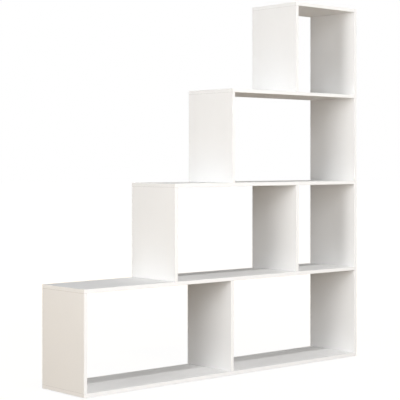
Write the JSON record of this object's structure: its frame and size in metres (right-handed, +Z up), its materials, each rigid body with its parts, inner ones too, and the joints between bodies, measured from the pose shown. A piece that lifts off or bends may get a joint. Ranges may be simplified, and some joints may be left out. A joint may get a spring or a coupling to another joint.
{
  "type": "room divider bookcase",
  "caption": "Stepped room divider bookcase in white chipboard: open tiers of shelves that climb in steps towards a tall side panel, usable from both sides.",
  "frame": {"origin": "on the floor, at the middle of the width and of the depth", "axes": "+X along the width towards the tall side, +Y to the back, +Z up"},
  "size_m": [1.55, 0.277, 1.6],
  "materials": {
    "white_melamine": "matt white melamine face on chipboard, very fine pearl texture",
    "white_edging": "satin white plastic edge band",
    "zinc_cam": "die-cast zinc",
    "white_cap": "satin white moulded plastic",
    "steel_bolt": "bright zinc-plated steel",
    "beech": "plain turned beech",
    "glide_plastic": "off-white moulded polyethylene"
  },
  "bodies": {
    "root": {"bottom_board": "white_melamine", "bottom_board_edging": "white_edging", "first_shelf": "white_melamine", "first_shelf_edging": "white_edging", "second_shelf": "white_melamine", "second_shelf_edging": "white_edging", "third_shelf": "white_melamine", "third_shelf_edging": "white_edging", "top_board": "white_melamine", "top_board_edging": "white_edging", "first_tier_end_panel": "white_melamine", "first_tier_end_panel_edging": "white_edging", "first_tier_divider": "white_melamine", "first_tier_divider_edging": "white_edging", "second_tier_end_panel": "white_melamine", "second_tier_end_panel_edging": "white_edging", "second_tier_divider": "white_melamine", "second_tier_divider_edging": "white_edging", "third_tier_end_panel": "white_melamine", "third_tier_end_panel_edging": "white_edging", "top_tier_end_panel": "white_melamine", "top_tier_end_panel_edging": "white_edging", "tall_side_panel": "white_melamine", "tall_side_panel_edging": "white_edging", "cam_locks": "zinc_cam", "cam_cover_caps": "white_cap", "cam_bolts": "steel_bolt", "wood_dowels": "beech", "floor_glides": "glide_plastic", "glide_nails": "steel_bolt"}
  },
  "joints": []
}
